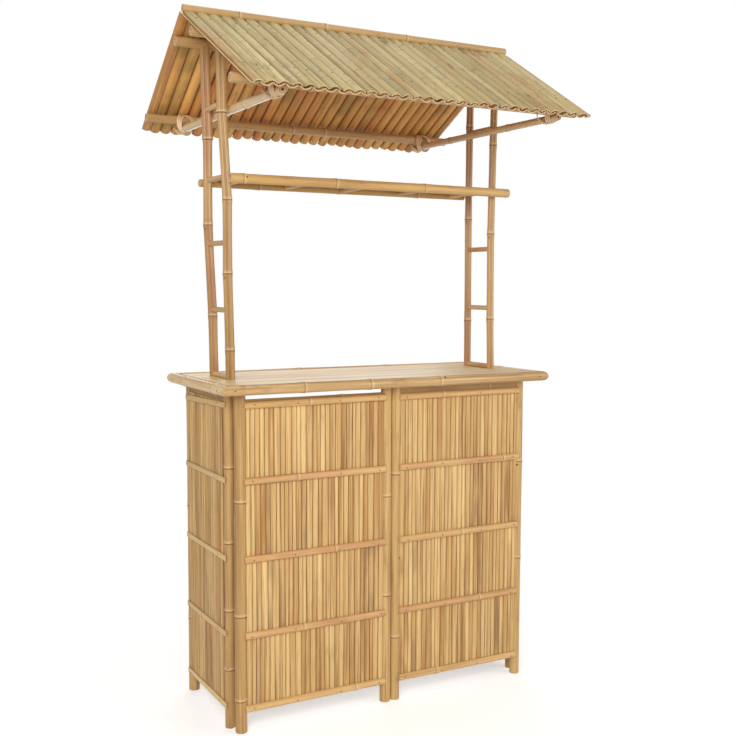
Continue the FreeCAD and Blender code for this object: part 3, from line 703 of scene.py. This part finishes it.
front_left, front_right, rear_right, rear_left = (Vector((x, y, top_z)) for x, y in (
    (top_left, top_front), (top_right, top_front), (top_right, top_rear), (top_left, top_rear)))
top_poles = [
    mitred(front_left, front_right, (0.214, 0.412, 0.634)), mitred(rear_right, rear_left, (0.3, 0.6)),
    mitred(front_right, rear_right, (0.5,)), mitred(rear_left, front_left, (0.28, 0.82))]
# The left pole's palest tone is partly painted light, standing in for the light on its upper side; the other
# tones are the poles' own.
grow(
    "top_poles", top_poles, round_section, top_bamboo, "bar",
    ["top_front_pole", "top_rear_pole", "top_left_pole", "top_right_pole"], tones=[1.0, 0.4, 0.1, 0.0])
for side, x in ((-1, top_left), (1, top_right)):
    for y, facing in ((top_front, forward), (top_rear, -forward)):
        proud = top_half + nail_proud
        bar_nails.append((Vector((x - side * 0.022, y, top_z)) + facing * proud, facing))
        bar_nails.append(((x + side * proud, y + facing.y * -0.034, top_z), (side, 0, 0)))
top_scars = [((top_left - 0.0155, 0.062, top_z - 0.003), (-1, 0, -0.2)),
             ((0.172, top_front - 0.011, top_z + 0.0115), (0, -0.7, 0.7))]
heads("top_bud_scars", top_scars, 0.0042, 0.3, scar_skin, "bar")

# Counter deck
# Wide boards of flattened cane lie side by side on cross battens between the poles.
# Flattening splits the bark into many fine cracks that run along the boards.
board_pitch = 0.0878
board_inset = 0.020
board_z = 1.050
board_half = 0.003
board_outline = [(-1, -1), (1, -1), (1, 0.5), (0.985, 1), (0.96, 1), (-0.96, 1), (-0.985, 1), (-1, 0.5)]
# The boards' flanks get painted shade, dark in the gaps between boards.
board_section = section("board section", board_outline, [1, 1, 1, 0.7, 0, 0, 0.7, 1])
# The deck's very pale colours are partly the boards' own and partly a painted sheen.
deck_colour_and_sheen = bamboo(
    "deck bamboo and painted sheen", pale=(255, 240, 198), deep=(240, 206, 150), stain=(200, 160, 106), streaks=1.0,
    warm_share=0.0, bark_gloss=0.4)


def planks(front, rear, pitch, left, right, z, gap, half, joint=lambda: None):
    """Planks side by side from front to rear, each from left to right; joint gives a joint's share."""
    step = (rear - front) / round((rear - front) / pitch)
    made = []
    for i in range(round((rear - front) / pitch)):
        y0 = front + step * i
        y1 = front + step * (i + 1)
        made.append(slat((left, (y0 + y1) / 2, z), (right, (y0 + y1) / 2, z), (0, (y1 - y0) / 2 - gap, 0),
                         (0, 0, half), joint()))
    return made


boards = planks(top_front + board_inset, top_rear - board_inset, board_pitch, top_left + board_inset,
                top_right - board_inset, board_z, 0.0006, board_half)
grow("deck_boards", boards, board_section, deck_colour_and_sheen, "bar", ["top_boards"])

# Ladders
# Two pairs of poles stand on the deck, each joined by five thin rungs coped to their round.
# They lean outwards a little, stray at their joints, and carry the shelf and the upper purlins.
deck_top = 1.053
ladder_y = 0.073
ladder_height = 1.035
knot_below = 0.012
lean = math.tan(math.radians(0.65))
rung_heights = (1.0618, 1.267, 1.473, 1.672, 1.890)
rung_half = 0.0085
furrow_depth = 0.26
furrow_facing = math.radians(-66)
furrow_spread = 0.30
upright_bamboo = bamboo(
    "upright bamboo", pale=(222, 186, 130), deep=(180, 140, 88), streaks=1.0, warm=(184, 134, 94),
    warm_share=0.2, edge=(122, 84, 44), edge_share=0.65, bark_gloss=0.28, coat=0.3)
rung_bamboo = bamboo("rung bamboo", pale=(228, 198, 146), deep=(208, 170, 118), joint_share=0.5)
ladder_canes = {
    (-1, -1): ((0.0, 0.087, 0.314, 0.53, 0.78, 1.0), (0.003, 0.003, 0.0, 0.003, -0.009, -0.009)),
    (-1, 1): ((0.0, 0.186, 0.463, 0.72, 1.0), (0.004, 0.003, -0.007, -0.003, -0.007)),
    (1, -1): ((0.0, 0.169, 0.456, 0.751, 1.0), (-0.002, -0.008, -0.013, -0.011, -0.009)),
    (1, 1): ((0.0, 0.16, 0.512, 0.829, 1.0), (-0.001, -0.003, -0.009, -0.011, -0.010))}


def furrowed(count):
    """A round outline with the furrow that cane has along one side, and how much each point is in it; the
    furrow gets that much painted shade.
    """
    points = []
    depths = []
    for x, y in circle(count):
        off = (math.atan2(y, x) - furrow_facing + math.pi) % (2 * math.pi) - math.pi
        depths.append(math.exp(-(off / furrow_spread) ** 2))
        points.append((x * (1 - furrow_depth * depths[-1]), y * (1 - furrow_depth * depths[-1])))
    return points, depths


def bow(side, row, share):
    """How far an upright strays along x at a share of its height."""
    marks, bows = ladder_canes[side, row]
    for low, high, first, last in zip(marks, marks[1:], bows, bows[1:]):
        if share <= high:
            return first + (last - first) * (share - low) / (high - low)


furrowed_section = section("furrowed section", *furrowed(48))
uprights = []
rungs = []
upright_scars = []
for side, foot, half, girth in ((-1, 0.480, 0.0145, 1.14), (1, 0.500, 0.0125, 1.0)):
    for row in (-1, 1):
        marks, bows = ladder_canes[side, row]
        start = Vector((side * foot, row * ladder_y, deck_top))
        end = Vector((side * (foot + ladder_height * lean), row * ladder_y, deck_top + ladder_height))
        uprights.append(rings(start, end, half, marks[1:-1], bows=bows, girth=girth))
        knot = start.lerp(end, marks[2] - knot_below) + Vector((bow(side, row, marks[2]), 0, 0))
        facing = Vector((-0.85, -0.5, 0))
        upright_scars.append((knot + facing * half, facing))
    for z in rung_heights:
        x = side * (foot + (z - deck_top) * lean)
        front_end, rear_end = (x + bow(side, row, (z - deck_top) / ladder_height) for row in (-1, 1))
        rungs.append(rings((front_end, -ladder_y, z), (rear_end, ladder_y, z), rung_half))
grow(
    "ladder_uprights", uprights, furrowed_section, upright_bamboo, "bar",
    ["left_front_upright", "left_rear_upright", "right_front_upright", "right_rear_upright"],
    tones=[0.85, 0.8, 0.3, 0.8])
heads("upright_bud_scars", upright_scars, 0.0032, 0.4, scar_skin, "bar")
grow("ladder_rungs", rungs, thin_section, rung_bamboo, "bar", ["left_rungs", "right_rungs"])

# Bottle shelf
# A thick pole in front of the uprights and a thinner one behind carry thin cross pieces.
# A deck of narrow slats lies on the cross pieces, between the two ladders.
shelf_z = 1.665
shelf_front = -0.1017
shelf_rear = 0.0987
shelf_front_half = 0.015
shelf_rear_half = 0.012
cross_half = 0.008
shelf_bamboo = bamboo(
    "shelf pole bamboo", pale=(220, 182, 118), deep=(192, 148, 90), stains=0.7, bark_gloss=0.3,
    joint_share=0.55)
shelf_poles = [
    rings((-0.486, shelf_front, shelf_z), (0.542, shelf_front, shelf_z), shelf_front_half,
          (0.040, 0.344, 0.665), open_ends=(0.6, 0.6)),
    rings((-0.511, shelf_rear, shelf_z), (0.491, shelf_rear, shelf_z), shelf_rear_half,
          (0.2, 0.493, 0.8), open_ends=(0.0, 0.5))]
grow(
    "shelf_poles", shelf_poles, round_section, shelf_bamboo, "bar",
    ["shelf_front_pole", "shelf_rear_pole"], tones=[0.2, 0.7])
shelf_scars = [((-0.436, -0.1160, shelf_z + 0.004), (0, -1, 0.3)),
               ((0.206, -0.1155, shelf_z + 0.005), (0, -1, 0.4))]
heads("shelf_bud_scars", shelf_scars, 0.004, 0.35, scar_skin, "bar")
cross_pieces = [rings((x, shelf_front, shelf_z), (x, shelf_rear, shelf_z), cross_half)
                for x in (-0.430, -0.215, 0.0, 0.215, 0.430)]
grow("shelf_cross_pieces", cross_pieces, thin_section, rung_bamboo, "bar", ["shelf_cross_pieces"])
shelf_boards = planks(-0.0852, 0.0852, 0.0284, -0.4580, 0.4800, shelf_z + 0.0107, 0.0015, slat_half,
                      lambda: chance.uniform(0.1, 0.9))
grow("shelf_slats", shelf_boards, slat_section, slat_bamboo, "bar", ["shelf_slats"])

# Roof poles
# Five long poles run the length of the roof: one on the ridge and two under each slope.
# Two shorter cross beams hang under the lower ones, inside the uprights.
roof_bamboo = bamboo(
    "roof pole bamboo", pale=(210, 176, 122), deep=(182, 142, 90), joint_share=0.5, warm_share=0.0)
beam_bamboo = bamboo(
    "cross beam bamboo", pale=(252, 228, 184), deep=(216, 178, 126), bark_gloss=0.2, coat=0.5, warm_share=0.0)
pitch = math.radians(30)
apex = 2.150
half_roof = 0.594
upper_half = 0.0155
lower_half = 0.0145
ridge_half = 0.012
lower_y = 0.389
tile_room = 0.0055


def under_tiles(y, radius):
    return apex - abs(y) * math.tan(pitch) - (radius + 0.0003) / math.cos(pitch)


upper_z = under_tiles(ladder_y, upper_half)
lower_z = under_tiles(lower_y, lower_half + tile_room)
ridge_low, ridge_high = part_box("ridge_pole")[:2]
ridge_z = (ridge_low[2] + ridge_high[2]) / 2
roof_poles = [
    rings((-half_roof, y, z), (half_roof, y, z), half, joints, open_ends=(bore, bore))
    for y, z, half, joints, bore in (
        (-ladder_y, upper_z, upper_half, (0.31, 0.71), 0.55),
        (ladder_y, upper_z, upper_half, (0.42, 0.8), 0.55),
        (-lower_y, lower_z, lower_half, (0.2, 0.61), 0.55),
        (lower_y, lower_z, lower_half, (0.1, 0.45, 0.557, 0.9), 0.55),
        (0.0, ridge_z, ridge_half, (0.150, 0.4, 0.654), 0.5))]
grow(
    "roof_poles", roof_poles, round_section, roof_bamboo, "bar",
    ["ridge_pole", "upper_front_purlin", "upper_rear_purlin", "lower_front_purlin", "lower_rear_purlin"])
beams = []
beam_places = []
for node, half in (("left_cross_beam", 0.0135), ("right_cross_beam", 0.0115)):
    low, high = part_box(node)[:2]
    x = (low[0] + high[0]) / 2
    z = (low[2] + high[2]) / 2
    beam_places.append((x, z, half))
    beams.append(rings((x, low[1], z), (x, high[1], z), half, (0.3, 0.7), open_ends=(0.3, 0.3)))
grow(
    "cross_beams", beams, round_section, beam_bamboo, "bar",
    ["left_cross_beam", "right_cross_beam"], tones=[0.1, 0.8])

# Roof tiles
# Culms split in half make the tiles: the lower ones lie crown down as gutters, side by side.
# The upper ones cap every seam, crown up, and each is held by a nail over either purlin.
tile_columns = 30
tile_spacing = 0.038
tile_half = 0.022
tile_top = -0.005
tile_end = 0.5595
ridge_size = 1.04
seam_gap = 0.0003
first_joint = (0.05, 0.4)
joint_step = (0.26, 0.42)
tile_ridge = ((-0.006, 1.0, 0), (-0.0022, 1.035, 0), (-0.001, 1.02, 0.9), (0.0008, 1.02, 0.9),
              (0.0022, 1.04, -0.3), (0.010, 1.0, 0))
tile_bamboo = bamboo(
    "tile bamboo", pale=(216, 198, 146), deep=(184, 162, 110), warm=(196, 158, 108), cool=(166, 154, 108),
    stain=(140, 116, 70), edge=(92, 62, 32), edge_share=0.95, coat=0.0, shine=0.25, bark_gloss=0.5,
    stains=1.0, warm_share=0.25, cool_share=0.2, joint_share=0.6, streaks=1.0)
gutter_bamboo = bamboo(
    "gutter tile bamboo", pale=(248, 192, 106), deep=(206, 142, 74), warm=(206, 122, 62), cool=(166, 132, 66),
    stain=(136, 90, 44), edge=(84, 46, 20), edge_share=0.95, bark_gloss=0.45, stains=0.8, warm_share=0.3,
    cool_share=0.2, joint_share=0.2, streaks=0.9)
wall_share = 18.5 / 22
chord_share = 18.8 / 22
rim_share = math.sqrt(1 - chord_share ** 2)
outer_spread = math.asin(chord_share)
inner_spread = math.acos(rim_share / wall_share)
rake_spread = math.radians(50)
rake_start = -0.62


def arch(spans):
    """A split culm's outline: its bark side out and its hollow side back, each from an angle to an angle."""
    points = []
    for radius, first, last, count in spans:
        for i in range(count + 1):
            angle = first + (last - first) * i / count
            points.append((radius * math.sin(angle), radius * math.cos(angle)))
    return points


tile_arch = arch(((1.0, -outer_spread, outer_spread, 8), (wall_share, inner_spread, -inner_spread, 6)))
# The rims and the hollow side of each tile get painted shade, dark in the seams between tiles.
tile_section = section("tile section", tile_arch, [1, 0.15] + [0] * 5 + [0.15, 1] + [1] * 7)
rake_section = section("rake section", arch((
    (1.0, rake_start, rake_spread, 6), (wall_share, rake_spread, rake_start, 6))))


def slope_point(side, x, along, up):
    return Vector((x, side * (along * math.cos(pitch) + up * math.sin(pitch)),
                   apex - along * math.sin(pitch) + up * math.cos(pitch)))


def slope_up(side, x=0):
    """The way that a slope faces, leaning by x along the ridge."""
    return slope_point(side, x, 0, 1) - slope_point(side, 0, 0, 0)


def fan(along):
    """How much larger the culms are here than at the eave; their thick ends lie at the ridge."""
    return ridge_size + (1 - ridge_size) * (along - tile_top) / (tile_end - tile_top)


def tile(side, x, centre, sign, end, width, across=1, drift=0.0):
    """A split culm down the slope; its joints rise on the bark side. drift is how far its foot strays."""
    up = slope_up(side).normalized() * sign
    steps = [(tile_top, 1.0, 0, 1), (tile_top + 0.001, 1.0, 0, 0)]
    joint = chance.uniform(*first_joint)
    while joint < end - 0.03:
        steps += [(joint + off, size, dark, 0) for off, size, dark in tile_ridge]
        joint += chance.uniform(*joint_step)
    steps += [(end - 0.001, 1.0, 0, 0), (end, 0.99, 0, 1)]
    made = []
    for at, size, dark, cut in steps:
        large = fan(at)
        made.append((slope_point(side, large * x + drift * at, at, large * centre),
                     Vector((across, 0, 0)) * tile_half * large * min(size, 1.01) * width,
                     up * tile_half * large * size, at, dark, cut))
    return made


inner_half = wall_share * tile_half * math.sin(inner_spread)
rim_drop = wall_share * tile_half - tile_half * rim_share
cap_rise = wall_share * tile_half - (tile_spacing / 2 - inner_half) * rim_drop / inner_half
upper_centre = tile_half * (1 - rim_share) + seam_gap - cap_rise
scar_places = ((4, 0.199), (8, 0.163), (11, 0.222), (20, 0.193), (28, 0.049), (9, 0.53), (17, 0.12),
               (19, 0.314), (24, 0.35))
tile_scars = []
tile_nails = []
for side, name in ((-1, "front"), (1, "rear")):
    for layer, count, centre, sign, reach, finish in (
            ("lower", tile_columns - 1, tile_half, -1, tile_end + 0.006, gutter_bamboo),
            ("upper", tile_columns, upper_centre, 1, tile_end, tile_bamboo)):
        tiles = []
        for i in range(count):
            x = (i - (count - 1) / 2) * tile_spacing
            end = reach - chance.uniform(-0.002, 0.007)
            drift = stray(0.0015)
            tiles.append(tile(side, x, centre, sign, end, chance.uniform(0.965, 1.0), drift=drift))
            if layer == "upper":
                for along in (0.066, 0.441):
                    at = along + stray(0.005)
                    crown = fan(at) * (centre + tile_half) - 0.0002
                    off = stray(0.003)
                    spot = slope_point(side, fan(at) * x + drift * at + off, at, crown)
                    tile_nails.append((spot, slope_up(side, off * 8)))
        grow(
            name + "_" + layer + "_roof_tiles", tiles, tile_section, finish, "bar",
            [name + "_" + layer + "_tiles"])
    for column, along in scar_places:
        x = (column - (tile_columns - 1) / 2) * tile_spacing * fan(along)
        crown = fan(along) * (upper_centre + tile_half) - 0.0014
        tile_scars.append((slope_point(side, x + 0.005, along, crown), slope_up(side, 0.25)))
heads("tile_bud_scars", tile_scars, 0.0048, 0.3, scar_skin, "bar")
heads("tile_nails", tile_nails, 0.0028, 0.35, nail_steel, "bar")

# Rake gutters
# The outermost upper tile of each slope rests on a narrow strip of culm along the rake.
# Its pale sawn edge shows a finger's width outside the tile, with a dark gap between.
rake_x = 0.563
rake_end = tile_end - 0.004
edge_place = (1 + wall_share) / 2 * tile_half
edge_out = rake_x + edge_place * math.sin(rake_spread)
edge_up = tile_half - edge_place * math.cos(rake_spread)
edge_steps = ((tile_top, 1), (tile_top + 0.001, 0), (rake_end - 0.001, 0), (rake_end, 1))
edge_width = 0.0019
edge_thickness = 0.0006
rakes = []
for side in (-1, 1):
    for across in (-1, 1):
        rakes.append(tile(side, across * rake_x, tile_half, -1, rake_end, 1.0, across=across))
        outward = Vector((across, 0, 0))
        along_wall = outward * math.sin(rake_spread) - slope_up(side) * math.cos(rake_spread)
        off_wall = outward * math.cos(rake_spread) + slope_up(side) * math.sin(rake_spread)
        rakes.append([(slope_point(side, across * fan(at) * edge_out, at, fan(at) * edge_up),
                       along_wall * edge_width, off_wall * edge_thickness, at, 0, cut)
                      for at, cut in edge_steps])
rake_bamboo = bamboo(
    "rake gutter bamboo", pale=(240, 218, 172), deep=(196, 140, 78), tone_spread=1.6, warm_share=0.0,
    joint_share=0.2)
grow("rake_gutters", rakes, rake_section, rake_bamboo, "bar", tones=[1.0, 0.0] * 4)
heads("bar_nails", bar_nails, nail_radius, nail_height, nail_steel, "bar")

# Rattan bindings
# Where a cross beam meets a lower purlin, a strand of split rattan is wound round both.
# It goes three times over one diagonal and then three times over the other, its turns side by side.
strand_width = 0.0056
strand_half = 0.0009
strand_gap = 0.0004
strand_clear = 0.0006
layer_rise = 0.0020
corner_room = 0.0022
strand_turns = 3
turn_sides = 32
strand_outline = [(-1, -1), (1, -1), (0.9, 0.0), (0.5, 0.75), (0, 1), (-0.5, 0.75), (-0.9, 0.0)]
strand_section = section("strand section", strand_outline)
rattan = bamboo(
    "rattan", pale=(250, 224, 190), deep=(230, 196, 156), stain=(190, 148, 108), stains=0.2, streaks=0.5,
    coat=0.05, bark_gloss=0.5, warm_share=0.0)


def winding(x, y, beam_z, beam_half, way, layer):
    """A strand round the crossing; way is the diagonal that it follows, layer 0 lies under layer 1."""
    low = beam_z - beam_half
    high = lower_z + lower_half
    centre = Vector((x, y, (low + high) / 2))
    away = strand_half + strand_clear + layer_rise * layer
    tall = (high - low) / 2 + away
    rise = (lower_z - centre.z) / tall
    step = strand_width + strand_gap
    spread = (step * strand_turns + strand_width) / 2
    reach = 2 * lower_half / math.sqrt(2)
    wide = (reach + (1 - rise) * spread + away) / math.sqrt(1 - rise ** 2) + corner_room
    outward = Vector((1, way, 0)).normalized()
    sideways = Vector((1, -way, 0)).normalized()
    made = []

    def at(turn):
        angle = 2 * math.pi * turn
        shift = step * (turn - strand_turns / 2)
        return (centre + outward * (wide * math.cos(angle) + shift * math.sin(angle))
                + Vector((0, 0, tall * math.sin(angle))) + sideways * shift)

    for i in range(strand_turns * turn_sides + 1):
        turn = i / turn_sides
        here = at(turn)
        heading = (at(turn + 0.002) - at(turn - 0.002)).normalized()
        out = here - centre - sideways * sideways.dot(here - centre)
        out = (out - heading * out.dot(heading)).normalized()
        side = heading.cross(out).normalized()
        made.append((here, side * strand_width / 2, out * strand_half, turn * 0.2, 0, 0))
    return made


bindings = [winding(x, y, z, half, way, layer) for x, z, half in beam_places for y in (-lower_y, lower_y)
            for way, layer in ((1, 0), (-1, 1))]
grow("rattan_strands", bindings, strand_section, rattan, "bar", ["rattan_bindings"])

# Hidden wood and metal
# Dowels, battens, bolts and hinges keep their plain turned or folded forms.
# The hinges are bright steel, the bolts are zinc plated, the dowels and battens plain wood.
steel = worn("hinge steel", (205, 202, 192), (172, 168, 156), 1.0, 0.35, (60, 60, 900))
plain_wood = worn("batten wood", (206, 170, 118), (168, 126, 78), 0.0, 0.6, (120, 8, 60))
for names, finish in ((("top_battens", "top_dowels"), plain_wood),
                      (("centre_bolts", "fixed_hinge_leaves", "hinge_pins", "left_wing_hinge_leaves",
                        "right_wing_hinge_leaves", "ladder_foot_bolts"), steel)):
    for name in names:
        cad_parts[name].data.materials.clear()
        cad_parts[name].data.materials.append(finish)
for helper in sections:
    bpy.data.objects.remove(helper)

# Studio
# A white paper floor that fades into a white surround, lit by four wide soft lamps.
# The camera stands left of the bar at about the height of the counter and looks slightly down.
white = (1, 1, 1, 1)
floor_reach = 12
ground = bpy.data.meshes.new("studio floor")
corners = [(x * floor_reach, y * floor_reach, 0) for x, y in ((-1, -1), (1, -1), (1, 1), (-1, 1))]
ground.from_pydata(corners, [], [(0, 1, 2, 3)])
floor = linked("studio floor", ground)
paper, tree = material("studio paper")
surface = tree.nodes["Principled BSDF"]
surface.inputs["Base Color"].default_value = shade(243, 243, 243)
surface.inputs["Roughness"].default_value = 0.9
middle = add(tree, "ShaderNodeTexCoord").outputs["Object"]
away = add(tree, "ShaderNodeVectorMath", {0: middle}, operation="LENGTH").outputs["Value"]
fade = add(tree, "ShaderNodeMapRange", {"Value": away, "From Min": 0.7, "From Max": 2.0},
           interpolation_type="SMOOTHSTEP")
lift_near = add(tree, "ShaderNodeEmission", {"Color": white, "Strength": 0.36})
near = add(tree, "ShaderNodeAddShader", {0: surface.outputs[0], 1: lift_near.outputs[0]})
far = add(tree, "ShaderNodeEmission", {"Color": white, "Strength": 1.0})
sweep = add(tree, "ShaderNodeMixShader", {0: fade.outputs[0], 1: near.outputs[0], 2: far.outputs[0]})
seen = add(tree, "ShaderNodeLightPath").outputs["Is Camera Ray"]
whole = add(tree, "ShaderNodeMixShader", {0: seen, 1: surface.outputs[0], 2: sweep.outputs[0]})
tree.links.new(whole.outputs[0], tree.nodes["Material Output"].inputs["Surface"])
ground.materials.append(paper)

world = bpy.data.worlds.new("studio light")
bpy.context.scene.world = world
world.use_nodes = True
tree = world.node_tree
background = tree.nodes["Background"]
seen = add(tree, "ShaderNodeLightPath").outputs["Is Camera Ray"]
power = add(tree, "ShaderNodeMapRange", {"Value": seen, "To Min": 0.38, "To Max": 1.0})
tree.links.new(power.outputs[0], background.inputs["Strength"])
background.inputs["Color"].default_value = white


def lamp(name, at, size, watts, tint=(1, 1, 1)):
    """A square lamp that shines at the middle of the bar."""
    light = bpy.data.lights.new(name, "AREA")
    light.shape = "SQUARE"
    light.size = size
    light.energy = watts
    light.color = tint
    made = linked(name, light)
    made.location = at
    made.rotation_euler = (Vector((0, 0, 1)) - Vector(at)).to_track_quat("-Z", "Y").to_euler()


lamp("key lamp", (-2.6, -3.6, 2.6), 2.2, 124, (1.0, 0.98, 0.95))
lamp("fill lamp", (3.2, -2.8, 1.9), 2.6, 48)
lamp("top lamp", (0.4, 1.2, 4.2), 2.6, 30)
lamp("rear lamp", (1.2, 3.4, 1.9), 2.4, 26)

photo_width = 736
focal_length = 1026.7
azimuth = math.radians(28.7)
down = math.radians(4.6)
roll = math.radians(0.2)
view_direction = Vector((math.sin(azimuth) * math.cos(down), math.cos(azimuth) * math.cos(down),
                         -math.sin(down)))
camera = bpy.data.cameras.new("camera")
camera.sensor_fit = "HORIZONTAL"
camera.sensor_width = 36.0
camera.lens = camera.sensor_width * focal_length / photo_width
camera_object = linked("camera", camera)
camera_object.location = (-1.6177, -3.0380, 1.3442)
turned = view_direction.to_track_quat("-Z", "Y").to_matrix() @ Matrix.Rotation(roll, 3, "Z")
camera_object.rotation_euler = turned.to_euler()
bpy.context.scene.camera = camera_object
bpy.context.scene.view_settings.view_transform = "Standard"
